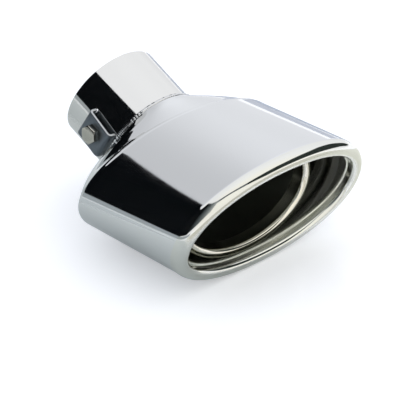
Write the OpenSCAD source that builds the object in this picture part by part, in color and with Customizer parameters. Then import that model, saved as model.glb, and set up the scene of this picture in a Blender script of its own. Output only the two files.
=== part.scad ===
/* [Oval shell] */
// Width of the mouth over its rolled lip
mouth_w = 139; // [120:1:150]
// Height of the mouth over its rolled lip, measured along the slanted face
mouth_h = 81; // [72:1:90]
// Slant of the mouth face from upright, top edge forward (degrees)
mouth_slant = 18; // [0:1:24]
// Squareness of the mouth outline: 2 is a true ellipse
mouth_squareness = 2.1; // [2:0.05:2.6]
// Width of the shell at its rear rim
rear_w = 146; // [124:1:160]
// Slant of the rear rim from upright (degrees)
rear_slant = 15; // [0:1:20]
// Squareness of the rear rim outline
rear_squareness = 1.95; // [1.9:0.05:2.6]
// Length of the shell from its rear rim to its mouth, on the middle line
shell_l = 79; // [60:1:120]
// Thickness of the shell's sheet
shell_wall = 1.5; // [1:0.1:2]
// Thickness of the rolled lip seen from the front
lip_d = 8.6; // [7:0.2:9]
// Distance over which the lip rounds in from the shell's wall to its crest
lip_round = 7; // [4:0.5:8]
// Depth of the flange that the lip turns back into the mouth
flange_l = 5; // [4:0.5:7]
// Rounding of the rear rim
rim_r = 3.2; // [1.8:0.2:4]

/* [Shoulder] */
// Distance from the rear rim's middle back to the neck
shoulder_l = 20; // [16:1:32]
// Height of the neck's middle above the rear rim's middle
shoulder_rise = 6; // [3:0.5:7]
// How far the shoulder domes out backward, most of it next to the rim
shoulder_dome = 3; // [0:0.5:4]

/* [Inlet collar] */
// Bore of the collar, which slides over the tailpipe
collar_bore = 60; // [54:0.5:61]
// Thickness of the collar's tube
collar_wall = 1.5; // [1.2:0.1:2]
// Length of the collar outside the shell
collar_l = 41; // [34:1:60]
// Angle at which the collar rises toward its rear end (degrees)
collar_pitch = 24; // [18:1:26]
// Width of the weld bead along the collar
weld_w = 3; // [2:0.2:3]
// Height of the weld bead over the collar
weld_h = 2.2; // [1.6:0.2:2.4]

/* [Inner tube] */
// Distance from the mouth's outline in to the inner tube's opening, at each side
inner_beside = 26; // [22:0.5:32]
// The same distance above and below
inner_above = 13; // [13:0.5:15]
// Distance of the inner tube's lip behind the lowest part of the flange
inner_behind = 2.6; // [1:0.2:8]
// Thickness of the inner tube's sheet
inner_wall = 1.2; // [1:0.1:1.5]
// Thickness of the inner tube's rolled lip
inner_lip_d = 6.2; // [5:0.2:6.4]

/* [Clamp] */
// Distance of the clamp bolt from the shell's neck
clamp_to_neck = 15; // [15:0.5:18]
// Angle of the clamp bolt above the side of the collar (degrees)
clamp_angle = 8.5; // [0:0.5:60]
// How far the bracket's front end is turned down round the bolt (degrees)
clamp_turn = 6; // [0:0.5:8]
// Length of the bracket along the collar, over its two legs
bracket_l = 20.5; // [18:0.5:20.5]
// Width of the bracket across the collar
bracket_w = 18.5; // [14:0.5:19]
// Thickness of the bracket's strap
bracket_t = 1.5; // [1.2:0.1:2]
// Gap between the collar and the bracket's bridge
bridge_gap = 2.5; // [2:0.5:5]
// Nominal diameter of the clamp bolt
bolt_d = 6; // [5:1:8]
// Height of the bolt's six-sided head
bolt_head_h = 4; // [3.5:0.1:5.3]

/* [Hidden] */

polished_steel = [0.80, 0.82, 0.83];
inner_steel = [0.42, 0.42, 0.40];
weld_steel = [0.70, 0.71, 0.72];
strap_steel = [0.36, 0.39, 0.43];
zinc_steel = [0.66, 0.65, 0.61];

// Points round each oval ring, and facets on a true circle
ring_points = 78;
$fn = 96;
// Clearance between round tubes that slide into one another
tube_gap = 0.1;
// Clearance of the bracket's legs in their slots
slot_gap = 0.15;
// Amount by which a cutter passes through what it cuts
cut = 1;

collar_r = collar_bore / 2 + collar_wall;
// Half width of the lip outside its crest, and the round of its inner side
lip_out = 0.585 * lip_d;
lip_in = lip_d - lip_out;
inner_lip_r = inner_lip_d / 2;
neck_flat_r = collar_r + weld_h + 0.4;
// Depth of the collar and the inner tube's tail in the neck
collar_tail = 4;

// Middles of the neck, the rear rim and the mouth, with the collar's rear rim as the origin
neck_x = collar_l * cos(collar_pitch);
neck_z = -collar_l * sin(collar_pitch);
rear_x = neck_x + shoulder_l;
rear_z = neck_z - shoulder_rise;
mouth_x = rear_x + shell_l;
mouth_z = rear_z;

// Half sizes of the line along the lip's crest, and the depth of the lip's lowest point under the middle
mouth_a = mouth_w / 2 - lip_out;
mouth_b = mouth_h / 2 - lip_out;
mouth_low = mouth_b * cos(mouth_slant) + (lip_in - lip_round) * sin(mouth_slant)
    + norm([lip_out * cos(mouth_slant), lip_round * sin(mouth_slant)]);
// The rear rim reaches as low as the mouth, so the shell's underside is level
rear_a = rear_w / 2;
rear_b = (mouth_low - rim_r * sin(rear_slant)) / cos(rear_slant);

// Half sizes of the line through the middle of the inner tube's lip
inner_a = mouth_w / 2 - inner_beside + inner_lip_r;
inner_b = mouth_h / 2 - inner_above + inner_lip_r;
flange_back = (mouth_b + shell_wall - lip_in) * sin(mouth_slant) + flange_l * cos(mouth_slant);
inner_x = mouth_x - flange_back - inner_behind - inner_lip_r;
tail_x = neck_x + collar_tail * cos(collar_pitch);
tail_z = neck_z - collar_tail * sin(collar_pitch);

clamp_t = collar_l - clamp_to_neck;
bridge_r = collar_r + bridge_gap;
bridge_top = bridge_r + bracket_t;
leg_foot_r = collar_bore / 2 + tube_gap;
bolt_tip_r = collar_bore / 2 + 2 * tube_gap;
// Size across the flats of the bolt's head, and the head's turn from square
bolt_head_af = 5 / 3 * bolt_d;
head_turn = 8;

function blend(p, q, s) = p * (1 - s) + q * s;
function ease(s) = s * s * (3 - 2 * s);
function rounded(v, squareness) = sign(v) * pow(abs(v), 2 / squareness);

// One closed ring of points in a plane that leans by slant, moved forward square to that plane
function oval(x, z, a, b, squareness, slant, forward = 0) = [
    for (k = [0:ring_points - 1])
        let (turn = (k + 0.5) * 360 / ring_points,
             side = a * rounded(cos(turn), squareness),
             rise = b * rounded(sin(turn), squareness))
        [x + rise * sin(slant) + forward * cos(slant), side, z + rise * cos(slant) - forward * sin(slant)]
];
function between(from, to, s) = [for (k = [0:ring_points - 1]) blend(from[k], to[k], s)];
function moved_back(ring, by) = [for (p = ring) p - [by, 0, 0]];

function mouth_ring(out, forward) =
    oval(mouth_x, mouth_z, mouth_a + out, mouth_b + out, mouth_squareness, mouth_slant, forward);
function rear_ring(out, forward) =
    oval(rear_x, rear_z, rear_a + out, rear_b + out, rear_squareness, rear_slant, forward);
function neck_ring(r, forward) = oval(neck_x, neck_z, r, r, 2, collar_pitch, forward);
// The lip's outer side is a long quarter of an oval from the wall to the crest; its inner side is round.
// Each is drawn as deep under the lip's surface as inset says
function lip_outside(inset, from, step, to) = [
    for (turn = [from:step:to])
        mouth_ring((lip_out - inset) * cos(turn), lip_in - lip_round + (lip_round - inset) * sin(turn))
];
function lip_inside(inset, from, step, to) =
    [for (turn = [from:step:to]) mouth_ring((lip_in - inset) * cos(turn), (lip_in - inset) * sin(turn))];
// The rim's rounding turns the sheet in toward the shoulder
function rim_arc(r, inset, from, step, to) =
    [for (turn = [from:step:to]) rear_ring(-inset - r * (1 - cos(turn)), rim_r - r * sin(turn))];
function shoulder(from, to, steps) = [
    for (k = steps) moved_back(between(from, to, k), shoulder_dome * 1.6 * sin(180 * k) * (1 - k))
];

// A closed skin through rings that follow one another round a section
module ring_skin(rings) {
    n = ring_points;
    m = len(rings);
    polyhedron(
        points = [for (ring = rings) for (p = ring) p],
        faces = [
            for (i = [0:m - 1]) for (k = [0:n - 1])
                let (j = (i + 1) % m, l = (k + 1) % n)
                for (face = [[i * n + k, j * n + k, i * n + l], [i * n + l, j * n + k, j * n + l]])
                    face
        ],
        convexity = 8);
}

// Brings a shape drawn with its height along +Z onto the collar's axis, from its rear rim forward
module along_collar() {
    rotate([0, 90 + collar_pitch, 0])
        children();
}

// Brings a shape drawn with +Z outward and +X forward to the clamp's place on the collar's side
module at_clamp() {
    rotate([0, collar_pitch, 0])
        translate([clamp_t, 0, 0])
            rotate([90 - clamp_angle, 0, 0])
                rotate([0, 0, -clamp_turn])
                    children();
}

module outer_shell() {
    rim_turn = 60;
    inner_r = rim_r - shell_wall + 0.5;
    outer_end = rear_ring(-rim_r * (1 - cos(rim_turn)), rim_r * (1 - sin(rim_turn)));
    inner_end = rear_ring(-shell_wall - inner_r * (1 - cos(rim_turn)), rim_r - inner_r * sin(rim_turn));
    outer_neck = neck_ring(neck_flat_r, 0);
    inner_neck = neck_ring(neck_flat_r, shell_wall);
    outer_steps = [0.84, 0.66, 0.48, 0.3, 0.14];
    inner_steps = [0.14, 0.38, 0.62, 0.84];
    color(polished_steel)
        ring_skin(concat(
            [neck_ring(collar_r + tube_gap, 0), outer_neck],
            shoulder(outer_end, outer_neck, outer_steps),
            rim_arc(rim_r, 0, rim_turn, -20, 0),
            [between(rear_ring(0, rim_r), mouth_ring(lip_out, lip_in - lip_round), 0.5)],
            lip_outside(0, 0, 22.5, 90),
            lip_inside(0, 112.5, 22.5, 180),
            [mouth_ring(-lip_in, -flange_l), mouth_ring(shell_wall - lip_in, -flange_l)],
            lip_inside(shell_wall, 180, -30, 120),
            lip_outside(shell_wall, 90, -30, 0),
            [between(rear_ring(-shell_wall, rim_r), mouth_ring(lip_out - shell_wall, lip_in - lip_round), 0.5)],
            rim_arc(inner_r, shell_wall, 0, 20, rim_turn),
            shoulder(inner_end, inner_neck, inner_steps),
            [inner_neck, neck_ring(collar_r + tube_gap, shell_wall)]));
}

// Inner tube: round at its tail, oval at its mouth, with its edge rolled outward
module inner_tube() {
    tail = oval(tail_x, tail_z, collar_r, collar_r, 2, collar_pitch);
    tail_bore = oval(tail_x, tail_z, collar_r - inner_wall, collar_r - inner_wall, 2, collar_pitch);
    function front(out, forward) = oval(inner_x, mouth_z, inner_a + out, inner_b + out, 2, 0, forward);
    roll_end = -60;
    fold_r = inner_lip_r - inner_wall;
    throat = front(-inner_lip_r, -inner_lip_r);
    throat_back = front(-fold_r, -inner_lip_r);
    function passage(from, to, steps) = [
        for (s = steps) [
            for (k = [0:ring_points - 1])
                [blend(from[k][0], to[k][0], s),
                 blend(from[k][1], to[k][1], ease(s)),
                 blend(from[k][2], to[k][2], ease(s))]
        ]
    ];
    color(inner_steel)
        ring_skin(concat(
            [tail],
            passage(tail, throat_back, [0.17, 0.33, 0.5, 0.67, 0.83, 1]),
            [for (turn = [180:-30:roll_end]) front(fold_r * cos(turn), fold_r * sin(turn))],
            [for (turn = [roll_end:24:180]) front(inner_lip_r * cos(turn), inner_lip_r * sin(turn))],
            passage(tail_bore, throat, [1, 0.83, 0.67, 0.5, 0.33, 0.17]),
            [tail_bore]));
}

// Round collar with two slots for the bracket's legs and a clear hole for the bolt
module inlet_collar() {
    slot_w = bracket_w + 2 * slot_gap;
    slot_l = bracket_t + 2 * slot_gap;
    leg_middle = (bracket_l - bracket_t) / 2;
    bolt_hole_d = bolt_d + 1;
    color(polished_steel)
        difference() {
            along_collar()
                difference() {
                    cylinder(h = collar_l + collar_tail, r = collar_r);
                    translate([0, 0, -cut])
                        cylinder(h = collar_l + collar_tail + 2 * cut, d = collar_bore);
                }
            at_clamp() {
                for (side = [-1, 1])
                    translate([side * leg_middle - slot_l / 2, -slot_w / 2, collar_bore / 2 - 3 * cut])
                        cube([slot_l, slot_w, collar_wall + 6 * cut]);
                translate([0, 0, collar_bore / 2 - 2 * cut])
                    cylinder(h = collar_wall + 4 * cut, d = bolt_hole_d);
            }
        }
}

// Bead laid in the corner between the collar and the neck
module collar_weld() {
    color(weld_steel)
        along_collar()
            translate([0, 0, collar_l])
                rotate_extrude()
                    intersection() {
                        translate([collar_r, 0])
                            scale([weld_h / weld_w, 1])
                                circle(r = weld_w, $fn = 32);
                        translate([collar_r + tube_gap / 2, -weld_w])
                            square([weld_h, weld_w - tube_gap / 2]);
                    }
}

// Strap bent down at both ends into legs, with a tapped hole through its bridge
module clamp_bracket() {
    bend_r = bracket_t * 0.7;
    half_l = bracket_l / 2;
    outer_r = bend_r + bracket_t;
    color(strap_steel)
        at_clamp()
            difference() {
                translate([0, bracket_w / 2, 0])
                    rotate([90, 0, 0])
                        linear_extrude(height = bracket_w) {
                            translate([outer_r - half_l, bridge_r])
                                square([bracket_l - 2 * outer_r, bracket_t]);
                            for (side = [-1, 1]) {
                                translate([side * (half_l - bracket_t / 2) - bracket_t / 2, leg_foot_r])
                                    square([bracket_t, bridge_top - outer_r - leg_foot_r]);
                                translate([side * (half_l - outer_r), bridge_top - outer_r])
                                    intersection() {
                                        difference() {
                                            circle(r = outer_r);
                                            circle(r = bend_r);
                                        }
                                        translate([side > 0 ? 0 : -outer_r, 0])
                                            square(outer_r);
                                    }
                            }
                        }
                translate([0, 0, bridge_r - cut])
                    cylinder(h = bracket_t + 2 * cut, d = bolt_d + tube_gap);
            }
}

// Six-sided bolt backed off until its tip is level with the collar's bore
module clamp_bolt() {
    tip_chamfer = bolt_d / 10;
    head_bevel = bolt_head_h / 5;
    color(zinc_steel)
        at_clamp() {
            translate([0, 0, bolt_tip_r])
                cylinder(h = tip_chamfer, d1 = bolt_d - 2 * tip_chamfer, d2 = bolt_d);
            translate([0, 0, bolt_tip_r + tip_chamfer])
                cylinder(h = bridge_top - bolt_tip_r - tip_chamfer, d = bolt_d);
            intersection() {
                translate([0, 0, bridge_top])
                    rotate([0, 0, head_turn])
                        cylinder(h = bolt_head_h, d = bolt_head_af / cos(30), $fn = 6);
                union() {
                    translate([0, 0, bridge_top])
                        cylinder(h = bolt_head_h - head_bevel, d = bolt_head_af / cos(30) + cut);
                    translate([0, 0, bridge_top + bolt_head_h - head_bevel])
                        cylinder(h = head_bevel, d1 = bolt_head_af / cos(30) + cut,
                            d2 = bolt_head_af - head_bevel);
                }
            }
        }
}

outer_shell();
inner_tube();
inlet_collar();
collar_weld();
clamp_bracket();
clamp_bolt();
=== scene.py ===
"""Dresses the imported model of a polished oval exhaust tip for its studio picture."""

import math

import bmesh
import bpy
from bpy.props import FloatProperty, FloatVectorProperty, PointerProperty, StringProperty
from mathutils import Matrix, Vector


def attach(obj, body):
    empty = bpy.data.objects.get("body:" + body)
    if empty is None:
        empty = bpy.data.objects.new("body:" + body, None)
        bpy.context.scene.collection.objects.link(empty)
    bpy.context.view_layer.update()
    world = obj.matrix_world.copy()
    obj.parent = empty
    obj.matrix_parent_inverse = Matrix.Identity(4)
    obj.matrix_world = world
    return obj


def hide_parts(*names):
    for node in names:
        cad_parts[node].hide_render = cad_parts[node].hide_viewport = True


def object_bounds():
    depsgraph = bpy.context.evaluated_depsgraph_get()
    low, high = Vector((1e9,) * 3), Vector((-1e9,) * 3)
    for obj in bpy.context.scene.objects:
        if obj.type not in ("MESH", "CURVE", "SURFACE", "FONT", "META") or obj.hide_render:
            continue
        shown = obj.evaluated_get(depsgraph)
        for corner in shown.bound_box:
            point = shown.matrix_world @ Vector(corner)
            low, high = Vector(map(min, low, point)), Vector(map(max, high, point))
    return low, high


bl_info = {
    "name": "Oval exhaust tip",
    "version": (1, 0, 0),
    "blender": (4, 5, 0),
    "location": "View3D > Sidebar > Exhaust Tip",
    "description": "Models and finishes a polished double-wall exhaust tip with a clamp collar",
    "category": "Object",
}

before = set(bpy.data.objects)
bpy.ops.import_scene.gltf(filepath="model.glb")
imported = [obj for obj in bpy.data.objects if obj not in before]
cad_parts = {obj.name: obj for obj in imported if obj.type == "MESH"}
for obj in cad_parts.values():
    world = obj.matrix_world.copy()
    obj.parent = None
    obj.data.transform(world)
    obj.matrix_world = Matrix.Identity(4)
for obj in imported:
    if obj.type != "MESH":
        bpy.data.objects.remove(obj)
CAD_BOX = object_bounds()
MM = 0.001

RING_SEGMENTS = 192
TUBE_SEGMENTS = 160
WELD_SEGMENTS = 720
THREAD_SEGMENTS = 32
SHARP_ANGLE = math.radians(38)
BEVEL_ANGLE = math.radians(35)

# Share of the rolled lip's thickness that lies outside its crest
LIP_OUTSIDE = 0.585
# Clearances: neck round the collar, neck's flat round the weld, legs in their slots, bolt in its hole
NECK_GAP = 0.1 * MM
WELD_GAP = 0.4 * MM
SLOT_PLAY = 0.3 * MM
BOLT_PLAY = 1 * MM

# Unevenness of a hand-laid weld, as sine waves round it: size, number of waves and phase
RIPPLE_PACE = ((0.8, 7, 0.5), (0.5, 17, 0))
BEAD_DRIFT = ((0.08, 5, 1), (0.05, 13, 0))
# The next two space the dashes of painted shade at the weld's toe, for its dark crevices and their dark
# reflection
TOE_SHADE_SPACING = ((5.2, 4, 0), (3.3, 9, 1))
TOE_SHADE_SPREAD = ((0.7, 13, 2), (0.4, 5, 0))

# Light that the floor adds where the camera or a reflection looks at it, so that it shows white
FLOOR_LIFT = 0.3

# Mats on the floor round the tip, seen only in its polish: colour, middle, reach and lift in metres.
# The first two mats are painted shade: grey sheets that darken the floor near the tip, where its shadow
# falls, as the polish shows it
MATS = {
    "floor_shade_mat": ("#D4DADC", (-0.13, -0.22), (0.42, 0.42), 0.0002),
    "shade_mat": ("#C6CDD0", (-0.17, -0.19), (0.17, 0.19), 0.0005),
    "cream_mat": ("#DEDCD0", (0.62, -0.02), (0.46, 0.60), 0.0004),
    "white_mat": ("#F6F7EF", (0.22, 0.24), (0.18, 0.21), 0.0003),
    "blue_mat": ("#BCC5D4", (-0.06, 0.15), (0.12, 0.12), 0.0003),
    "pale_mat": ("#CDD2DE", (-0.36, 0.42), (0.36, 0.36), 0.0001),
}

# Curtains that hang round the tip, which only its polished metal shows. Each is a row of posts:
# direction in degrees, lowest and highest edge over the middle of the inlet
CURTAIN_DISTANCE = 0.8
# The black curtain's near edge is out of focus in the photograph's polish, so it fades in steps
FADING_POSTS = [
    (-66, 0.05, 1.60), (-61, 0.09, 1.52), (-55, 0.13, 1.42), (-48, 0.17, 1.34), (-41, 0.21, 1.24),
    (-34, 0.28, 1.16), (-26, 0.38, 1.08)]
FADING_COLOURS = ["#2A2E30", "#43484A", "#5E6364", "#767B7B", "#949997", "#B9BCBA"]
CURTAINS = {
    "black_curtain_left": ("#0A0D10", [
        (-66, 0.05, 1.60), (-92, 0.04, 1.75), (-98, 0.02, 1.45), (-103, 0.02, 1.29),
        (-118, 0.03, 1.15), (-125, 0.08, 1.10), (-150, 0.08, 0.90), (-162, 0.08, 0.895),
        (-170, 0.08, 0.875), (-179, 0.08, 0.825), (-184, 0.08, 0.60), (-196, 0.08, 0.45)]),
    **{f"fading_edge_{number + 1}": (colour, [FADING_POSTS[number + 1], FADING_POSTS[number]])
       for number, colour in enumerate(FADING_COLOURS)},
    "dark_curtain_front": ("#3B423E", [
        (88, 0.00, 0.08), (77, 0.03, 0.31), (67, 0.085, 0.42), (53, 0.09, 0.45), (36, 0.09, 0.48),
        (30, 0.10, 0.51), (22, 0.14, 0.54), (11, 0.38, 0.62)]),
    "grey_curtain_front": ("#7A8082", [
        (11, 0.38, 0.62), (-6, 0.68, 0.90), (-18, 0.76, 1.02), (-26, 0.80, 1.08)]),
    "grey_riser_left": ("#BDC3C5", [
        (-50, -0.061, 0.02), (-97, -0.061, 0.02), (-118, -0.061, 0.03), (-125, -0.061, 0.08),
        (-196, -0.061, 0.08)]),
}


class ShellSizes(bpy.types.PropertyGroup):
    """Sizes of the oval outer shell and its shoulder"""
    mouth_width: FloatProperty(
        name="Mouth width", description="Width of the mouth over its rolled lip",
        default=139 * MM, unit="LENGTH")
    mouth_height: FloatProperty(
        name="Mouth height", description="Height of the mouth over its lip, along the slanted face",
        default=81 * MM, unit="LENGTH")
    mouth_slant: FloatProperty(
        name="Mouth slant", description="Lean of the mouth face, top edge forward",
        default=math.radians(18), subtype="ANGLE")
    mouth_squareness: FloatProperty(
        name="Mouth squareness", description="2 is a true ellipse", default=2.1, min=2.0)
    rear_width: FloatProperty(
        name="Rear width", description="Width of the shell at its rear rim",
        default=146 * MM, unit="LENGTH")
    rear_slant: FloatProperty(
        name="Rear slant", description="Lean of the rear rim",
        default=math.radians(15), subtype="ANGLE")
    rear_squareness: FloatProperty(
        name="Rear squareness", description="2 is a true ellipse", default=1.95, min=1.5)
    length: FloatProperty(
        name="Length", description="Rear rim to mouth on the middle line",
        default=79 * MM, unit="LENGTH")
    wall: FloatProperty(
        name="Wall", description="Thickness of the shell's sheet", default=1.5 * MM, unit="LENGTH")
    lip: FloatProperty(
        name="Lip", description="Thickness of the rolled lip from the front",
        default=8.6 * MM, unit="LENGTH")
    lip_round: FloatProperty(
        name="Lip rounding", description="Length over which the lip rounds in from wall to crest",
        default=7 * MM, unit="LENGTH")
    flange: FloatProperty(
        name="Flange", description="Depth of the flange turned back into the mouth",
        default=5 * MM, unit="LENGTH")
    rim_radius: FloatProperty(
        name="Rim rounding", description="Rounding of the rear rim", default=3.2 * MM, unit="LENGTH")
    shoulder_length: FloatProperty(
        name="Shoulder length", description="Rear rim back to the neck", default=20 * MM, unit="LENGTH")
    shoulder_rise: FloatProperty(
        name="Shoulder rise", description="Height of the neck's middle over the rim's",
        default=6 * MM, unit="LENGTH")
    shoulder_dome: FloatProperty(
        name="Shoulder dome", description="How far the shoulder domes out backward",
        default=3 * MM, unit="LENGTH")


class TubeSizes(bpy.types.PropertyGroup):
    """Sizes of the inlet collar, its weld and the inner tube"""
    bore: FloatProperty(
        name="Bore", description="Bore of the inlet collar", default=60 * MM, unit="LENGTH")
    wall: FloatProperty(
        name="Collar wall", description="Thickness of the collar's tube",
        default=1.5 * MM, unit="LENGTH")
    length: FloatProperty(
        name="Collar length", description="Length of the collar outside the shell",
        default=41 * MM, unit="LENGTH")
    tail: FloatProperty(
        name="Tail", description="Length of the collar inside the neck", default=4 * MM, unit="LENGTH")
    pitch: FloatProperty(
        name="Pitch", description="Rise of the collar toward its rear end",
        default=math.radians(24), subtype="ANGLE")
    inner_width: FloatProperty(
        name="Inner width", description="Width of the inner tube's opening",
        default=87 * MM, unit="LENGTH")
    inner_height: FloatProperty(
        name="Inner height", description="Height of the inner tube's opening",
        default=55 * MM, unit="LENGTH")
    inner_behind: FloatProperty(
        name="Inner behind", description="The inner tube's lip behind the lowest part of the flange",
        default=2.6 * MM, unit="LENGTH")
    inner_wall: FloatProperty(
        name="Inner wall", description="Thickness of the inner tube's sheet",
        default=1.2 * MM, unit="LENGTH")
    inner_lip: FloatProperty(
        name="Inner lip", description="Thickness of the inner tube's rolled lip",
        default=6.2 * MM, unit="LENGTH")
    weld_width: FloatProperty(
        name="Weld width", description="Width of the weld bead along the collar",
        default=3.0 * MM, unit="LENGTH")
    weld_height: FloatProperty(
        name="Weld height", description="Height of the weld bead over the collar",
        default=2.2 * MM, unit="LENGTH")
    weld_ripple: FloatProperty(
        name="Weld ripple", description="Distance from one ripple of the bead to the next",
        default=1.9 * MM, unit="LENGTH")


class ClampSizes(bpy.types.PropertyGroup):
    """Sizes of the clamp on the side of the collar"""
    to_neck: FloatProperty(
        name="To neck", description="Clamp bolt from the shell's neck", default=15 * MM, unit="LENGTH")
    angle: FloatProperty(
        name="Angle", description="Clamp bolt above the side of the collar",
        default=math.radians(8.5), subtype="ANGLE")
    turn: FloatProperty(
        name="Turn", description="The bracket's front end turned down round the bolt",
        default=math.radians(6), subtype="ANGLE")
    bracket_length: FloatProperty(
        name="Bracket length", description="Bracket over its two legs",
        default=20.5 * MM, unit="LENGTH")
    bracket_width: FloatProperty(
        name="Bracket width", description="Bracket across the collar", default=18.5 * MM, unit="LENGTH")
    bracket_thickness: FloatProperty(
        name="Bracket thickness", description="Thickness of the strap", default=1.5 * MM, unit="LENGTH")
    bridge_gap: FloatProperty(
        name="Bridge gap", description="Collar to the bracket's bridge",
        default=2.5 * MM, unit="LENGTH")
    bolt: FloatProperty(
        name="Bolt", description="Nominal diameter of the clamp bolt", default=6 * MM, unit="LENGTH")
    thread_pitch: FloatProperty(
        name="Thread pitch", description="Pitch of the bolt's thread", default=1.0 * MM, unit="LENGTH")


class FinishColours(bpy.types.PropertyGroup):
    """Colours of the finishes, as sRGB hex values"""
    polished: StringProperty(
        name="Polished steel", description="Mirror-polished stainless steel", default="#E2E4E5")
    lip: StringProperty(
        name="Lip", description="Rolled lip, a little straw-coloured from its forming",
        default="#E3E4DF")
    tube: StringProperty(
        name="Collar tube", description="Mirror-polished tube of the collar", default="#E4E4E1")
    liner: StringProperty(
        name="Liner steel", description="Polished stainless liner, slightly warmer", default="#EAE7DC")
    inside: StringProperty(
        name="Inside of the shell", description="Rubbed inner side of the sheet", default="#D9DBD2")
    drawn: StringProperty(
        name="Drawn tube", description="Unbuffed inside of the liner", default="#5F6159")
    weld: StringProperty(
        name="Weld", description="Bright stainless weld bead", default="#D9DADB")
    # Painted shade: nearly black dashes at the weld's toe, for its dark crevices and their dark
    # reflection
    painted_toe_shade: StringProperty(
        name="Weld oxide", description="Dark oxide left at the weld's toe", default="#2E3134")
    strap: StringProperty(
        name="Strap", description="Satin steel strap of the bracket", default="#6E757C")
    # Painted highlight: the strap's cut sides are lighter, where its edges catch the light
    edge_highlight: StringProperty(
        name="Sheared edge", description="Bare sides of the bracket's strap", default="#C3C7C9")
    zinc: StringProperty(
        name="Zinc plate", description="Bright zinc-plated bolt", default="#BDBBB1")
    floor: StringProperty(
        name="Floor", description="Glossy white studio floor", default="#F2F5FB")


class StudioSizes(bpy.types.PropertyGroup):
    """Camera and stage"""
    azimuth: FloatProperty(
        name="Azimuth", description="Camera's direction round the tip, from its mouth",
        default=math.radians(-42), subtype="ANGLE")
    elevation: FloatProperty(
        name="Elevation", description="Camera's height over the floor as an angle",
        default=math.radians(29.75), subtype="ANGLE")
    camera_place: FloatVectorProperty(
        name="Camera", description="Where the camera stands", size=3,
        default=(0.7529, -0.6074, 0.4785), subtype="XYZ", unit="LENGTH")
    lens: FloatProperty(
        name="Lens", description="Focal length in millimetres on a 36 mm sensor", default=164.7)
    floor_span: FloatProperty(
        name="Floor span", description="Side of the square floor", default=6.0, unit="LENGTH")


def sizes():
    """The sizes of the shell and of the tubes"""
    return bpy.context.scene.exhaust_tip_shell, bpy.context.scene.exhaust_tip_tubes


def linear(hex_colour):
    """The linear colour of an sRGB hex value"""
    levels = [int(hex_colour[i:i + 2], 16) / 255 for i in (1, 3, 5)]
    return tuple(v / 12.92 if v <= 0.04045 else ((v + 0.055) / 1.055) ** 2.4 for v in levels) + (1.0,)


def plane(x, z, lean):
    """Local X across the tip, local Y up the leaning plane, local Z forward out of it"""
    s, c = math.sin(lean), math.cos(lean)
    return Matrix(((0, s, c, x), (1, 0, 0, 0), (0, c, -s, z), (0, 0, 0, 1)))


def oval(place, half_width, half_height, squareness=2.0, forward=0.0):
    """Where a point of the unit circle goes on an oval in a plane"""
    def spot(c, s):
        across = half_width * math.copysign(abs(c) ** (2 / squareness), c)
        up = half_height * math.copysign(abs(s) ** (2 / squareness), s)
        return place @ Vector((across, up, forward))
    return spot


def between(start, end, share, back=0.0, even=None):
    """A ring part of the way from one ring to another, moved back by a dome"""
    def spot(c, s):
        p, q = start(c, s), end(c, s)
        mixed = p.lerp(q, share)
        if even is not None:
            mixed.y = p.y + (q.y - p.y) * even
            mixed.z = p.z + (q.z - p.z) * even
        return mixed - Vector((back, 0, 0))
    return spot


def lay_ring(bm, spot):
    """A ring of points, each put where spot sends it from the unit circle"""
    ring = bmesh.ops.create_circle(bm, segments=RING_SEGMENTS, radius=1.0)["verts"]
    for vert in ring:
        vert.co = spot(vert.co.x, vert.co.y)
    return ring


def ring_edges(ring):
    """The edges that join a ring's own points"""
    own = set(ring)
    return {edge for vert in ring for edge in vert.link_edges if edge.other_vert(vert) in own}


def skin_rings(spots, starts):
    """A closed skin through rings that follow one another round a section of sheet metal.

    Each number in starts is that of the strip from which the piece's next material is worn.
    """
    bm = bmesh.new()
    loops = [ring_edges(lay_ring(bm, spot)) for spot in spots]
    for number, (here, following) in enumerate(zip(loops, loops[1:] + loops[:1])):
        strip = bmesh.ops.bridge_loops(bm, edges=list(here | following))
        for face in strip["faces"]:
            face.material_index = sum(number >= start for start in starts)
    bmesh.ops.recalc_face_normals(bm, faces=bm.faces)
    return bm


def spun(profile, place, steps=TUBE_SEGMENTS):
    """A closed (radius, height) profile turned about local Z, then put in place"""
    bm = bmesh.new()
    verts = [bm.verts.new((radius, 0, height)) for radius, height in profile]
    edges = [bm.edges.new((a, b)) for a, b in zip(verts, verts[1:] + verts[:1])]
    bmesh.ops.spin(bm, geom=verts + edges, cent=(0, 0, 0), axis=(0, 0, 1), dvec=(0, 0, 0),
                   angle=math.tau, steps=steps, use_merge=True, use_duplicate=False)
    bmesh.ops.remove_doubles(bm, verts=bm.verts, dist=0.001 * MM)
    bmesh.ops.recalc_face_normals(bm, faces=bm.faces)
    bmesh.ops.transform(bm, matrix=place, verts=bm.verts)
    return bm


def new_object(bm, name, *materials):
    """A mesh object at the origin, made from bm and worn with the materials in their order"""
    mesh = bpy.data.meshes.new(name)
    bm.to_mesh(mesh)
    bm.free()
    for material in materials:
        mesh.materials.append(material)
    made = bpy.data.objects.new(name, mesh)
    bpy.context.scene.collection.objects.link(made)
    return made


def finished_piece(bm, name, node, slot, *materials):
    """A mesh object that stands for a node of the model and hides that node; the slot it is given is
    not used
    """
    piece = new_object(bm, name, *materials)
    piece.data.shade_smooth()
    piece.data.set_sharp_from_angle(angle=SHARP_ANGLE)
    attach(piece, "root")
    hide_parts(node)


def neck_point(tubes):
    """The middle of the neck, in X and Z, where the collar meets the shoulder"""
    return tubes.length * math.cos(tubes.pitch), -tubes.length * math.sin(tubes.pitch)


def rear_point(shell, tubes):
    """The middle of the shell's rear rim, in X and Z"""
    x, z = neck_point(tubes)
    return x + shell.shoulder_length, z - shell.shoulder_rise


def mouth_point(shell, tubes):
    """The middle of the mouth's plane, in X and Z"""
    x, z = rear_point(shell, tubes)
    return x + shell.length, z


def collar_place(tubes, distance):
    """A plane square to the collar, at a distance from its rear rim"""
    return plane(distance * math.cos(tubes.pitch), -distance * math.sin(tubes.pitch), tubes.pitch)


def lip_widths(shell):
    """Widths of the lip outside and inside its crest"""
    outside = LIP_OUTSIDE * shell.lip
    return outside, shell.lip - outside


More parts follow.
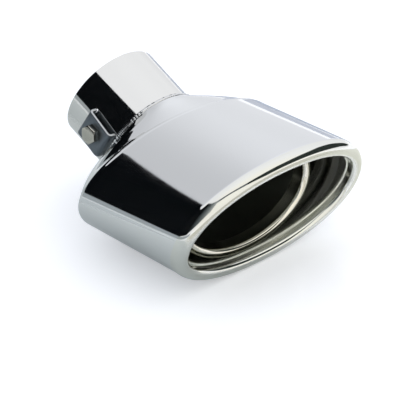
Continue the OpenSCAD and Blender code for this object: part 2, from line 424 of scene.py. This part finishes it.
def mouth_oval(out, forward):
    """An oval beside the line along the lip's crest, which lies ahead of the mouth's plane"""
    shell, tubes = sizes()
    crest, _ = lip_widths(shell)
    return oval(plane(*mouth_point(shell, tubes), shell.mouth_slant),
                shell.mouth_width / 2 - crest + out, shell.mouth_height / 2 - crest + out,
                shell.mouth_squareness, forward)


def rear_oval(out, forward):
    """An oval beside the rear rim, which reaches as low as the mouth"""
    shell, tubes = sizes()
    outside, inside = lip_widths(shell)
    sine, cosine = math.sin(shell.mouth_slant), math.cos(shell.mouth_slant)
    depth = ((shell.mouth_height / 2 - outside) * cosine + (inside - shell.lip_round) * sine
             + math.hypot(outside * cosine, shell.lip_round * sine))
    half_height = (depth - shell.rim_radius * math.sin(shell.rear_slant)) / math.cos(shell.rear_slant)
    return oval(plane(*rear_point(shell, tubes), shell.rear_slant),
                shell.rear_width / 2 + out, half_height + out, shell.rear_squareness, forward)


def turned(start, end, steps):
    """Angles from start to end in degrees, as radians, both ends included"""
    return [math.radians(start + (end - start) * k / steps) for k in range(steps + 1)]


def shoulder_spots(start, end, steps, dome):
    """Rings over the shoulder, which domes out most near its rim"""
    # The half wave leans toward the rim, and this brings its crest back to about the dome's height
    lean_gain = 1.6
    spots = []
    for k in range(1, steps):
        share = k / steps
        back = dome * lean_gain * math.sin(math.pi * share) * (1 - share)
        spots.append(between(start, end, share, back))
    return spots


def build_shell(polished, rolled, brushed):
    """Oval shell: shoulder, rounded rear rim, straight wall, rolled lip and returned flange"""
    shell, tubes = sizes()
    wall, rim = shell.wall, shell.rim_radius
    outside, inside = lip_widths(shell)
    # The rim is pressed a little fuller inside than its sheet's thickness would leave it
    inside_rim = rim - wall + 0.5 * MM
    rim_turn = 60
    neck_r = tubes.bore / 2 + tubes.wall + NECK_GAP
    flat_r = tubes.bore / 2 + tubes.wall + tubes.weld_height + WELD_GAP
    neck = collar_place(tubes, tubes.length)
    outer_neck, inner_neck = oval(neck, flat_r, flat_r), oval(neck, flat_r, flat_r, forward=wall)
    outer_rim = [rear_oval(-rim * (1 - math.cos(t)), rim - rim * math.sin(t))
                 for t in turned(rim_turn, 0, steps=8)]
    inner_rim = [rear_oval(-wall - inside_rim * (1 - math.cos(t)), rim - inside_rim * math.sin(t))
                 for t in turned(0, rim_turn, steps=6)]

    def lip_quarters(inset, start, end, steps):
        """The lip's long outer quarter and its round inner quarter, inset into its sheet"""
        rings = []
        for t in turned(start, end, steps):
            if math.cos(t) > 0:
                out = (outside - inset) * math.cos(t)
                forward = inside - shell.lip_round + (shell.lip_round - inset) * math.sin(t)
            else:
                out, forward = (inside - inset) * math.cos(t), (inside - inset) * math.sin(t)
            rings.append(mouth_oval(out, forward))
        return rings

    lip = lip_quarters(inset=0, start=0, end=180, steps=26)
    lip_back = lip_quarters(inset=wall, start=180, end=0, steps=16)
    # Shares of the straight wall at which its rings lie, closer together near its ends
    along = (0.01, 0.04, 0.12, 0.25, 0.4, 0.55, 0.7, 0.84, 0.94, 0.985)
    # A hair's step keeps these rings off one plane, where bridging could join them across the hole
    hair = 0.02 * wall
    spots = [oval(neck, neck_r, neck_r, forward=hair), outer_neck]
    spots += reversed(shoulder_spots(outer_rim[0], outer_neck, steps=14, dome=shell.shoulder_dome))
    spots += outer_rim
    spots += [between(outer_rim[-1], lip[0], share) for share in along]
    lip_starts = len(spots)
    spots += lip
    flange_starts = len(spots) - 1
    spots += [mouth_oval(-inside, -shell.flange * share) for share in (0.1, 0.25, 0.4)]
    bead, edge = 0.9 * MM, wall / 2
    spots += [mouth_oval(-inside - bead * math.sin(t), edge - shell.flange + bead * (1 + math.cos(t)))
              for t in turned(0, 180, steps=10)]
    spots += [mouth_oval(edge * (1 + math.cos(t)) - inside, edge * (1 + math.sin(t)) - shell.flange)
              for t in turned(180, 360, steps=10)]
    spots += [mouth_oval(wall - inside, -shell.flange * share) for share in (0.8, 0.45, 0.1)]
    spots += lip_back
    spots += [between(lip_back[-1], inner_rim[0], share) for share in along]
    spots += inner_rim
    spots += shoulder_spots(inner_rim[-1], inner_neck, steps=10, dome=shell.shoulder_dome)
    spots += [inner_neck, oval(neck, neck_r, neck_r, forward=wall - hair)]
    bm = skin_rings(spots, starts=(lip_starts, flange_starts))
    finished_piece(bm, "oval_shell", "outer_shell", "polished_shell", polished, rolled, brushed)


def build_inner_tube(polished, drawn):
    """Liner: round at its tail, oval at its mouth, with its edge rolled outward"""
    shell, tubes = sizes()
    mouth_x, mouth_z = mouth_point(shell, tubes)
    roll, wall = tubes.inner_lip / 2, tubes.inner_wall
    fold = roll - wall
    flange_back = ((shell.mouth_height / 2 + shell.wall - shell.lip) * math.sin(shell.mouth_slant)
                   + shell.flange * math.cos(shell.mouth_slant))
    front_plane = plane(mouth_x - flange_back - tubes.inner_behind - roll, mouth_z, 0)
    half_width, half_height = tubes.inner_width / 2 + roll, tubes.inner_height / 2 + roll

    def front(out, forward):
        return oval(front_plane, half_width + out, half_height + out, forward=forward)

    def ease(share):
        return share * share * (3 - 2 * share)

    tail_plane = collar_place(tubes, tubes.length + tubes.tail)
    tail_r = tubes.bore / 2 + tubes.wall
    tail, tail_bore = oval(tail_plane, tail_r, tail_r), oval(tail_plane, tail_r - wall, tail_r - wall)
    passage_rings = 24
    steps = [k / passage_rings for k in range(1, passage_rings)]
    throat, throat_back = front(-roll, -roll), front(-fold, -roll)
    spots = [tail]
    spots += [between(tail, throat_back, share, even=ease(share)) for share in steps]
    spots += [throat_back]
    roll_end = -60
    spots += [front(fold * math.cos(t), fold * math.sin(t)) for t in turned(180, roll_end, steps=14)]
    spots += [front(roll * math.cos(t), roll * math.sin(t)) for t in turned(roll_end, 180, steps=26)]
    spots += [throat]
    drawn_starts = len(spots)
    spots += [between(tail_bore, throat, share, even=ease(share)) for share in reversed(steps)]
    spots += [tail_bore]
    bm = skin_rings(spots, starts=(drawn_starts,))
    finished_piece(bm, "inner_liner", "inner_tube", "inner_steel", polished, drawn)


def clamp_place():
    """Local Z outward through the clamp bolt, local X forward along the collar"""
    _, tubes = sizes()
    clamp = bpy.context.scene.exhaust_tip_clamp
    return (Matrix.Rotation(tubes.pitch, 4, "Y")
            @ Matrix.Translation((tubes.length - clamp.to_neck, 0, 0))
            @ Matrix.Rotation(math.pi / 2 - clamp.angle, 4, "X")
            @ Matrix.Rotation(-clamp.turn, 4, "Z"))


def cutter_block(length, width, low, high, shift):
    """A block between two heights over the collar's axis, shifted along the collar"""
    bm = bmesh.new()
    size = Matrix.Diagonal((length, width, high - low, 1))
    place = clamp_place() @ Matrix.Translation((shift, 0, (low + high) / 2)) @ size
    bmesh.ops.create_cube(bm, size=1.0, matrix=place)
    return bm


def cutter_drill(diameter, low, high):
    """A drill on the clamp bolt's axis"""
    bm = bmesh.new()
    place = clamp_place() @ Matrix.Translation((0, 0, (low + high) / 2))
    bmesh.ops.create_cone(bm, cap_ends=True, segments=48, radius1=diameter / 2, radius2=diameter / 2,
                          depth=high - low, matrix=place)
    return bm


def cut_away(bm, cutters):
    """The body of bm less each cutter, as a new bmesh"""
    scene = bpy.context.scene
    body = bpy.data.objects.new("cut_body", bpy.data.meshes.new("cut_body"))
    bm.to_mesh(body.data)
    bm.free()
    scene.collection.objects.link(body)
    tools = []
    for cutter in cutters:
        tool = bpy.data.objects.new("cut_tool", bpy.data.meshes.new("cut_tool"))
        cutter.to_mesh(tool.data)
        cutter.free()
        scene.collection.objects.link(tool)
        tools.append(tool)
        step = body.modifiers.new("cut", "BOOLEAN")
        step.operation = "DIFFERENCE"
        step.solver = "EXACT"
        step.object = tool
    bpy.context.view_layer.update()
    result = bmesh.new()
    result.from_object(body, bpy.context.evaluated_depsgraph_get())
    for spare in tools + [body]:
        bpy.data.objects.remove(spare)
    return result


def build_collar(material):
    """Round inlet tube, with slots for the bracket's legs and a hole for the bolt"""
    _, tubes = sizes()
    clamp = bpy.context.scene.exhaust_tip_clamp
    bore_r, outer_r = tubes.bore / 2, tubes.bore / 2 + tubes.wall
    # The rear end's broken edge, the ring that holds its shading, and the length over all
    edge, hold, end = 0.3 * MM, 1.2 * MM, tubes.length + tubes.tail
    profile = [(bore_r + edge, 0), (outer_r - edge, 0), (outer_r, edge), (outer_r, hold),
               (outer_r, end / 2), (outer_r, end), (bore_r, end), (bore_r, end / 2),
               (bore_r, hold), (bore_r, edge)]
    bm = spun(profile, collar_place(tubes, 0))
    slot_length = clamp.bracket_thickness + SLOT_PLAY
    slot_width = clamp.bracket_width + SLOT_PLAY
    leg = (clamp.bracket_length - clamp.bracket_thickness) / 2
    beyond = 3 * MM
    low, high = bore_r - beyond, outer_r + beyond
    cutters = [cutter_block(slot_length, slot_width, low, high, side * leg) for side in (-1, 1)]
    cutters.append(cutter_drill(clamp.bolt + BOLT_PLAY, low, high))
    bm = cut_away(bm, cutters)
    finished_piece(bm, "inlet_tube", "inlet_collar", "polished_collar", material)


def waves(angle, parts):
    """The sum of sine waves round a circle, each given as size, number and phase"""
    return sum(size * math.sin(number * angle + phase) for size, number, phase in parts)


def build_weld(material, painted_toe_shade):
    """Rippled bead round the corner between the collar and the shoulder, with dashes of painted shade
    at its toe
    """
    _, tubes = sizes()
    outer_r = tubes.bore / 2 + tubes.wall
    width, height, toe = tubes.weld_width, tubes.weld_height, 0.25 * MM
    profile = [(outer_r - toe, -width)]
    for turn in turned(180, 0, steps=12):
        profile.append((outer_r + toe + (height - toe) * math.sin(turn),
                        -width / 2 + width / 2 * math.cos(turn)))
    profile.append((outer_r - toe, 0))
    bm = spun(profile, Matrix.Identity(4), steps=WELD_SEGMENTS)
    ripples = round(math.tau * outer_r / tubes.weld_ripple)
    # Shares of the bead's height: its usual crest, the depth of its grooves and its fullest crest
    usual, groove, fullest = 0.93, 0.08, 0.985
    for vert in bm.verts:
        radius = math.hypot(vert.co.x, vert.co.y)
        lift = radius - outer_r
        if lift <= 0:
            continue
        angle = math.atan2(vert.co.y, vert.co.x)
        # Each ripple is a shallow crescent that trails behind the one before it
        trail = 1.4 * (vert.co.z / width + 0.5) ** 2
        phase = ripples * angle / math.tau - trail + waves(angle, RIPPLE_PACE)
        crest = abs(math.sin(math.pi * phase))
        share = usual - groove * (1 - crest) + waves(angle, BEAD_DRIFT) / 2
        new_radius = outer_r + lift * min(share, fullest)
        vert.co.x *= new_radius / radius
        vert.co.y *= new_radius / radius
    # Up to 31 dashes of painted shade round the bead, in its strip next to the collar, where its
    # crevices and their reflection are dark
    dashes, dash_level, toe_strip = 31, 0.7, -0.62 * width
    for face in bm.faces:
        centre = face.calc_center_median()
        angle = math.atan2(centre.y, centre.x)
        dash = math.sin(dashes * angle + waves(angle, TOE_SHADE_SPACING)) + waves(angle, TOE_SHADE_SPREAD)
        face.material_index = int(centre.z < toe_strip and dash > dash_level)
    bmesh.ops.transform(bm, matrix=collar_place(tubes, tubes.length), verts=bm.verts)
    finished_piece(bm, "weld_bead", "collar_weld", "weld_bead", material, painted_toe_shade)


def edge_softened(bm, width):
    """Bevels the sharp edges of a merged copy of a node's mesh"""
    sharp = [e for e in bm.edges if len(e.link_faces) == 2 and e.calc_face_angle(0) > BEVEL_ANGLE]
    bmesh.ops.bevel(bm, geom=sharp, offset=width, offset_type="OFFSET", segments=2, profile=0.5,
                    affect="EDGES", clamp_overlap=True, material=-1)


def merged_copy(node):
    """The node's triangles as a joined mesh with its flat faces whole"""
    bm = bmesh.new()
    bm.from_mesh(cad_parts[node].data)
    bmesh.ops.remove_doubles(bm, verts=bm.verts, dist=0.002 * MM)
    bmesh.ops.dissolve_limit(bm, angle_limit=math.radians(1), use_dissolve_boundaries=False,
                             verts=bm.verts, edges=bm.edges)
    return bm


def build_bracket(material, edge_highlight):
    """Bent strap whose legs go through the collar, with softened edges and a painted highlight on its
    lighter sides
    """
    bm = merged_copy("clamp_bracket")
    edge_softened(bm, 0.3 * MM)
    # Faces square to the strap's width take the lighter colour, a painted highlight along its edges
    across = clamp_place().to_3x3() @ Vector((0, 1, 0))
    sideways = 0.6
    for face in bm.faces:
        face.material_index = int(abs(face.normal.dot(across)) > sideways)
    finished_piece(bm, "clamp_strap", "clamp_bracket", "strap_steel", material, edge_highlight)


def build_bolt(material):
    """Six-sided head on a threaded shank"""
    _, tubes = sizes()
    clamp = bpy.context.scene.exhaust_tip_clamp
    place = clamp_place()
    low = tubes.bore / 2 + 0.2 * MM
    seat = tubes.bore / 2 + tubes.wall + clamp.bridge_gap + clamp.bracket_thickness
    pitch = clamp.thread_pitch
    crest, root = clamp.bolt / 2 - 0.06 * MM, clamp.bolt / 2 - 0.65 * pitch
    bolt_axis = place.to_3x3() @ Vector((0, 0, 1))
    bm = merged_copy("clamp_bolt")
    head = bmesh.ops.bisect_plane(
        bm, geom=bm.verts[:] + bm.edges[:] + bm.faces[:], plane_co=place @ Vector((0, 0, seat)),
        plane_no=bolt_axis, clear_inner=True)
    rim = [e for e in head["geom_cut"] if isinstance(e, bmesh.types.BMEdge)]
    bmesh.ops.holes_fill(bm, edges=rim)
    edge_softened(bm, 0.2 * MM)
    head_mesh = bpy.data.meshes.new("bolt_head")
    bm.to_mesh(head_mesh)
    bm.free()
    # The thread starts a pitch below the tip and ends a pitch above the seat, and is cut off at both
    turns = math.ceil((seat - low) / pitch) + 2
    bm = bmesh.new()
    start = low - pitch
    ridge = [(root, 0), (crest, 0.42), (crest, 0.58), (root, 1)]
    verts = [bm.verts.new((radius, 0, start + share * pitch)) for radius, share in ridge]
    edges = [bm.edges.new(pair) for pair in zip(verts, verts[1:])]
    bmesh.ops.spin(bm, geom=verts + edges, cent=(0, 0, 0), axis=(0, 0, 1),
                   dvec=(0, 0, pitch / THREAD_SEGMENTS), angle=math.tau * turns,
                   steps=THREAD_SEGMENTS * turns)
    bmesh.ops.remove_doubles(bm, verts=bm.verts, dist=0.005 * MM)
    for height, up in ((low, -1), (seat, 1)):
        cut = bmesh.ops.bisect_plane(bm, geom=bm.verts[:] + bm.edges[:] + bm.faces[:],
                                     plane_co=(0, 0, height), plane_no=(0, 0, up), clear_outer=True)
        rim = [e for e in cut["geom_cut"] if isinstance(e, bmesh.types.BMEdge)]
        bmesh.ops.edgeloop_fill(bm, edges=rim)
    bmesh.ops.recalc_face_normals(bm, faces=bm.faces)
    bmesh.ops.transform(bm, matrix=place, verts=bm.verts)
    bm.from_mesh(head_mesh)
    bpy.data.meshes.remove(head_mesh)
    finished_piece(bm, "clamp_screw", "clamp_bolt", "zinc_steel", material)


def add_node(tree, kind, links=None, **settings):
    """Adds a node, sets its settings and default inputs, and links the sockets named"""
    node = tree.nodes.new(kind)
    for key, value in settings.items():
        setattr(node, key, value)
    for socket, source in (links or {}).items():
        if isinstance(source, bpy.types.NodeSocket):
            tree.links.new(source, node.inputs[socket])
        else:
            node.inputs[socket].default_value = source
    return node


def new_material(name):
    """A material and its tree, emptied"""
    material = bpy.data.materials.new(name)
    material.use_nodes = True
    material.node_tree.nodes.clear()
    return material, material.node_tree


def object_place(tree):
    """Each point's place on the object, which all the patterns follow"""
    return add_node(tree, "ShaderNodeTexCoord").outputs["Object"]


def cloudy(tree, where, size, detail, roughness=0.6):
    """Noise whose largest forms are about as big as size"""
    return add_node(tree, "ShaderNodeTexNoise", {
        "Vector": where, "Scale": 1 / size, "Detail": detail, "Roughness": roughness}).outputs["Fac"]


def spread(tree, value, low, high, start=0.3, end=0.7):
    """The part of a value from start to end, spread from low to high"""
    return add_node(tree, "ShaderNodeMapRange", {
        "Value": value, "From Min": start, "From Max": end,
        "To Min": low, "To Max": high}).outputs["Result"]


def relief(tree, height, strength, depth):
    """Normals of a surface that stands up in low relief"""
    return add_node(tree, "ShaderNodeBump", {
        "Height": height, "Strength": strength, "Distance": depth}).outputs["Normal"]


def metal_surface(tree, colour, roughness, normal, bare=1.0):
    """A metal's surface; bare is the share that no dull film covers"""
    shader = add_node(tree, "ShaderNodeBsdfPrincipled", {
        "Base Color": colour, "Metallic": bare, "Roughness": roughness, "Normal": normal})
    add_node(tree, "ShaderNodeOutputMaterial", {"Surface": shader.outputs["BSDF"]})


def grained_metal(name, hex_colour, grain, gloss, bump, lines=None, bands=None):
    """A metal with a fine grain, which varies its gloss and stands up in low relief.

    grain is the noise's size, detail and, where it isn't 0.6, its roughness; gloss is the least and
    greatest roughness; bump is the relief's strength and depth. lines scales the noise along each
    axis, so that it runs along the axes with the least. bands is the size and detail of the bands in
    which a thin dull film is left.
    """
    material, tree = new_material(name)
    where = object_place(tree)
    if lines:
        where = add_node(tree, "ShaderNodeMapping", {"Vector": where, "Scale": lines}).outputs["Vector"]
    fine = cloudy(tree, where, *grain)
    rough, raised = spread(tree, fine, *gloss), relief(tree, fine, *bump)
    bare = 1.0
    if bands:
        bare = spread(tree, cloudy(tree, where, *bands), low=0.68, high=1.0, start=0.4, end=0.58)
    metal_surface(tree, linear(hex_colour), rough, raised, bare)
    return material


def mirror_polished_stainless(name, hex_colour, wave_height, wave_size, roughness):
    """Stainless sheet, pressed and then buffed to a mirror.

    The eye sees crisp reflections that waver a little, because a buffed sheet is never quite flat.
    """
    material, tree = new_material(name)
    where = object_place(tree)
    wave = cloudy(tree, where, wave_size, detail=1.0, roughness=0.4)
    haze = cloudy(tree, where, 9 * MM, detail=4.0)
    gloss = spread(tree, haze, low=0.8 * roughness, high=1.25 * roughness)
    ripple = relief(tree, wave, strength=1.0, depth=wave_height)
    metal_surface(tree, linear(hex_colour), gloss, ripple)
    return material


def brushed_inside(name, hex_colour):
    """The sheet's inner side, rubbed down but not buffed.

    Fine lines run round it, so light spreads along the tube, and a thin dull film is left in bands.
    """
    return grained_metal(name, hex_colour, grain=(0.5 * MM, 4.0), gloss=(0.12, 0.24),
                         bump=(0.5, 0.02 * MM), lines=(1.0, 0.04, 0.04), bands=(6 * MM, 2.0))


def drawn_tube(name, hex_colour):
    """Stainless tube as it was drawn, never buffed inside: dull and dark, with fine rings round it."""
    return grained_metal(name, hex_colour, grain=(0.9 * MM, 3.0), gloss=(0.3, 0.42),
                         bump=(0.6, 0.04 * MM), lines=(1.0, 0.03, 0.03))


def bright_weld(name, hex_colour):
    """Stainless bead as welded and brushed clean: bright, with a fine satin grain on its ripples."""
    return grained_metal(name, hex_colour, grain=(0.7 * MM, 3.0), gloss=(0.10, 0.2),
                         bump=(0.5, 0.04 * MM))


def painted_weld_shade(name, hex_colour):
    """Painted shade for the dark crevices at a weld's toe and their dark reflection: dull and nearly
    black.
    """
    return grained_metal(name, hex_colour, grain=(0.4 * MM, 3.0), gloss=(0.45, 0.65),
                         bump=(0.5, 0.05 * MM))


def satin_strap(name, hex_colour):
    """Rolled steel strap, bent cold and left satin: grey, with faint rolling lines along it."""
    return grained_metal(name, hex_colour, grain=(1.6 * MM, 4.0), gloss=(0.3, 0.44),
                         bump=(0.4, 0.03 * MM), lines=(1.0, 1.0, 6.0))


def painted_edge_highlight(name, hex_colour):
    """Painted highlight for a strap's cut sides, where they catch the light: bright metal, with the
    shear's fine marks across the thickness.
    """
    return grained_metal(name, hex_colour, grain=(0.9 * MM, 3.0), gloss=(0.36, 0.5),
                         bump=(0.4, 0.03 * MM))


def bright_zinc(name, hex_colour):
    """Zinc-plated steel: bright and a little milky, with a soft mottle from the bath."""
    return grained_metal(name, hex_colour, grain=(2.2 * MM, 3.0, 0.55), gloss=(0.1, 0.22),
                         bump=(0.4, 0.03 * MM))


def glossy_floor(name, hex_colour):
    """White lacquered board: it keeps the shadow, and a faint reflection close to what stands on it."""
    material, tree = new_material(name)
    shader = add_node(tree, "ShaderNodeBsdfPrincipled", {
        "Base Color": linear(hex_colour), "Roughness": 0.05})
    path = add_node(tree, "ShaderNodeLightPath")
    seen = add_node(tree, "ShaderNodeMath", {
        0: path.outputs["Is Camera Ray"], 1: path.outputs["Is Glossy Ray"]}, operation="MAXIMUM")
    lift = add_node(tree, "ShaderNodeEmission", {"Color": (1, 1, 1, 1), "Strength": FLOOR_LIFT})
    none = add_node(tree, "ShaderNodeEmission", {"Color": (0, 0, 0, 1), "Strength": 0.0})
    choice = add_node(tree, "ShaderNodeMixShader", {
        0: seen.outputs["Value"], 1: none.outputs["Emission"], 2: lift.outputs["Emission"]})
    total = add_node(tree, "ShaderNodeAddShader", {
        0: shader.outputs["BSDF"], 1: choice.outputs["Shader"]})
    add_node(tree, "ShaderNodeOutputMaterial", {"Surface": total.outputs["Shader"]})
    return material


def build_floor():
    """A wide floor at the height of the tip's lowest point"""
    studio = bpy.context.scene.exhaust_tip_studio
    tip_middle = 0.07
    bm = bmesh.new()
    bmesh.ops.create_grid(bm, x_segments=1, y_segments=1, size=studio.floor_span / 2,
                          matrix=Matrix.Translation((tip_middle, 0, CAD_BOX[0][2])))
    board = glossy_floor("white_lacquered_board", bpy.context.scene.exhaust_tip_colours.floor)
    new_object(bm, "studio_floor", board)


def reflected_sheet(name, bm, material):
    """A sheet kept out of the picture and off the floor's light: polished metal alone shows it"""
    sheet = new_object(bm, name, material)
    sheet.visible_camera = False
    sheet.visible_diffuse = False
    sheet.visible_shadow = False
    sheet.visible_transmission = False


def build_curtains():
    """Curtains on curved rails that draw the dark bands in the polish"""
    for name, (colour, posts) in CURTAINS.items():
        bm = bmesh.new()
        bmesh.ops.create_grid(bm, x_segments=len(posts) - 1, y_segments=1, size=1.0)
        for vert in bm.verts:
            direction, lowest, highest = posts[round((vert.co.x + 1) / 2 * (len(posts) - 1))]
            turn = math.radians(direction)
            height = highest if vert.co.y > 0 else lowest
            vert.co = (CURTAIN_DISTANCE * math.cos(turn), CURTAIN_DISTANCE * math.sin(turn), height)
        material, tree = new_material(name)
        cloth = add_node(tree, "ShaderNodeBsdfDiffuse", {"Color": linear(colour), "Roughness": 1.0})
        add_node(tree, "ShaderNodeOutputMaterial", {"Surface": cloth.outputs["BSDF"]})
        reflected_sheet(name, bm, material)


def build_mat(name, hex_colour, middle, reach, lift):
    """Soft-edged mat on the floor, which only the tip's polish shows"""
    low = CAD_BOX[0][2]
    material, tree = new_material(name)
    where = object_place(tree)
    centred = add_node(tree, "ShaderNodeVectorMath", {0: where, 1: (*middle, low)},
                       operation="SUBTRACT")
    scaled = add_node(tree, "ShaderNodeVectorMath", {0: centred.outputs["Vector"], 1: (*reach, 1.0)},
                      operation="DIVIDE")
    radius = add_node(tree, "ShaderNodeVectorMath", {0: scaled.outputs["Vector"]}, operation="LENGTH")
    fade_starts = 0.75
    cover = add_node(tree, "ShaderNodeMapRange", {
        "Value": radius.outputs["Value"], "From Min": fade_starts, "From Max": 1.0,
        "To Min": 1.0, "To Max": 0.0}, interpolation_type="SMOOTHSTEP")
    cloth = add_node(tree, "ShaderNodeBsdfDiffuse", {"Color": linear(hex_colour), "Roughness": 1.0})
    clear = add_node(tree, "ShaderNodeBsdfTransparent")
    mixed = add_node(tree, "ShaderNodeMixShader", {
        0: cover.outputs["Result"], 1: clear.outputs["BSDF"], 2: cloth.outputs["BSDF"]})
    add_node(tree, "ShaderNodeOutputMaterial", {"Surface": mixed.outputs["Shader"]})
    bm = bmesh.new()
    bmesh.ops.create_grid(bm, x_segments=1, y_segments=1, size=1.0, matrix=(
        Matrix.Translation((*middle, low + lift)) @ Matrix.Diagonal((*reach, 1.0, 1.0))))
    reflected_sheet(name, bm, material)


def build_world():
    """A white studio: brightest over the front, darker at its rear wall and low behind the tip"""
    world = bpy.data.worlds.new("studio")
    bpy.context.scene.world = world
    world.use_nodes = True
    tree = world.node_tree
    tree.nodes.clear()
    where = add_node(tree, "ShaderNodeTexCoord").outputs["Generated"]

    def toward(direction, start, end, low, high):
        """A level that changes smoothly from low to high toward a direction"""
        along = add_node(tree, "ShaderNodeVectorMath", {0: where, 1: direction},
                         operation="DOT_PRODUCT")
        return add_node(tree, "ShaderNodeMapRange", {
            "Value": along.outputs["Value"], "From Min": start, "From Max": end,
            "To Min": low, "To Max": high}, interpolation_type="SMOOTHSTEP").outputs["Result"]

    rear = toward((-0.866, 0.0, 0.5), start=0.75, end=1.0, low=1.06, high=0.70)
    front = toward((0.58, 0.41, 0.71), start=0.60, end=0.95, low=0.0, high=0.06)
    behind = toward((-0.70, 0.71, 0.05), start=0.84, end=1.0, low=0.0, high=0.11)
    lit = add_node(tree, "ShaderNodeMath", {0: rear, 1: front}, operation="ADD")
    level = add_node(tree, "ShaderNodeMath", {0: lit.outputs["Value"], 1: behind},
                     operation="SUBTRACT")
    # The light is faintly blue, and faintly warm where it comes past the mouth
    warmth = toward((0.94, 0.10, 0.33), start=0.35, end=0.90, low=0.0, high=1.0)
    colour = add_node(tree, "ShaderNodeMix", {
        "Factor": warmth, 6: linear("#FAFBFF"), 7: linear("#FFFDF6")}, data_type="RGBA")
    back = add_node(tree, "ShaderNodeBackground", {
        "Color": colour.outputs[2], "Strength": level.outputs["Value"]})
    add_node(tree, "ShaderNodeOutputWorld", {"Surface": back.outputs["Background"]})


def build_camera():
    """The camera at the photograph's viewing angle"""
    scene = bpy.context.scene
    studio = scene.exhaust_tip_studio
    data = bpy.data.cameras.new("studio_camera")
    data.sensor_width = 36.0
    data.lens = studio.lens
    camera = bpy.data.objects.new("studio_camera", data)
    az, el = studio.azimuth, studio.elevation
    back = Vector((math.cos(az) * math.cos(el), math.sin(az) * math.cos(el), math.sin(el)))
    right = Vector((-math.sin(az), math.cos(az), 0))
    turn = Matrix((right, back.cross(right), back)).transposed()
    camera.matrix_world = Matrix.Translation(studio.camera_place) @ turn.to_4x4()
    scene.collection.objects.link(camera)
    scene.camera = camera
    scene.view_settings.view_transform = "Standard"


class OBJECT_OT_tip_shell(bpy.types.Operator):
    """Model the oval shell and the liner inside it"""
    bl_idname = "object.tip_shell"
    bl_label = "Shell and Liner"

    def execute(self, context):
        colours = context.scene.exhaust_tip_colours
        wave, mirror = 0.02 * MM, mirror_polished_stainless
        build_shell(
            mirror("mirror_polished_sheet", colours.polished, wave, 28 * MM, roughness=0.05),
            mirror("mirror_polished_lip", colours.lip, wave, 28 * MM, roughness=0.06),
            brushed_inside("brushed_inside", colours.inside))
        build_inner_tube(
            mirror("polished_liner", colours.liner, wave, 16 * MM, roughness=0.13),
            drawn_tube("drawn_tube", colours.drawn))
        return {"FINISHED"}


class OBJECT_OT_tip_collar(bpy.types.Operator):
    """Model the inlet tube and the weld that holds it"""
    bl_idname = "object.tip_collar"
    bl_label = "Collar and Weld"

    def execute(self, context):
        colours = context.scene.exhaust_tip_colours
        build_collar(mirror_polished_stainless(
            "mirror_polished_tube", colours.tube, 0.012 * MM, 24 * MM, roughness=0.05))
        build_weld(bright_weld("bright_weld", colours.weld), painted_weld_shade("painted_weld_shade", colours.painted_toe_shade))
        return {"FINISHED"}


class OBJECT_OT_tip_clamp(bpy.types.Operator):
    """Model the clamp's strap and bolt"""
    bl_idname = "object.tip_clamp"
    bl_label = "Clamp"

    def execute(self, context):
        colours = context.scene.exhaust_tip_colours
        build_bracket(satin_strap("satin_strap", colours.strap),
                      painted_edge_highlight("painted_edge_highlight", colours.edge_highlight))
        build_bolt(bright_zinc("bright_zinc", colours.zinc))
        return {"FINISHED"}


class SCENE_OT_tip_studio(bpy.types.Operator):
    """Set the floor, the light and the camera"""
    bl_idname = "scene.tip_studio"
    bl_label = "Studio"

    def execute(self, context):
        build_floor()
        build_curtains()
        for name, (hex_colour, middle, reach, lift) in MATS.items():
            build_mat(name, hex_colour, middle, reach, lift)
        build_world()
        build_camera()
        return {"FINISHED"}


class VIEW3D_PT_exhaust_tip(bpy.types.Panel):
    """Lists the sizes, the colours and the buttons that build the tip"""
    bl_label = "Exhaust Tip"
    bl_idname = "VIEW3D_PT_exhaust_tip"
    bl_space_type = "VIEW_3D"
    bl_region_type = "UI"
    bl_category = "Exhaust Tip"

    def draw(self, context):
        scene = context.scene
        groups = (scene.exhaust_tip_shell, scene.exhaust_tip_tubes, scene.exhaust_tip_clamp,
                  scene.exhaust_tip_colours, scene.exhaust_tip_studio)
        for group in groups:
            box = self.layout.box()
            for key in group.__annotations__:
                box.prop(group, key)
        for operator in OPERATORS:
            self.layout.operator(operator.bl_idname)


OPERATORS = (OBJECT_OT_tip_shell, OBJECT_OT_tip_collar, OBJECT_OT_tip_clamp, SCENE_OT_tip_studio)
GROUPS = {
    "exhaust_tip_shell": ShellSizes,
    "exhaust_tip_tubes": TubeSizes,
    "exhaust_tip_clamp": ClampSizes,
    "exhaust_tip_colours": FinishColours,
    "exhaust_tip_studio": StudioSizes,
}
CLASSES = (*GROUPS.values(), *OPERATORS, VIEW3D_PT_exhaust_tip)


def register():
    for cls in CLASSES:
        bpy.utils.register_class(cls)
    for name, group in GROUPS.items():
        setattr(bpy.types.Scene, name, PointerProperty(type=group))


def unregister():
    for name in GROUPS:
        delattr(bpy.types.Scene, name)
    for cls in reversed(CLASSES):
        bpy.utils.unregister_class(cls)


def main():
    register()
    bpy.ops.object.tip_shell()
    bpy.ops.object.tip_collar()
    bpy.ops.object.tip_clamp()
    bpy.ops.scene.tip_studio()


if __name__ == "__main__":
    main()
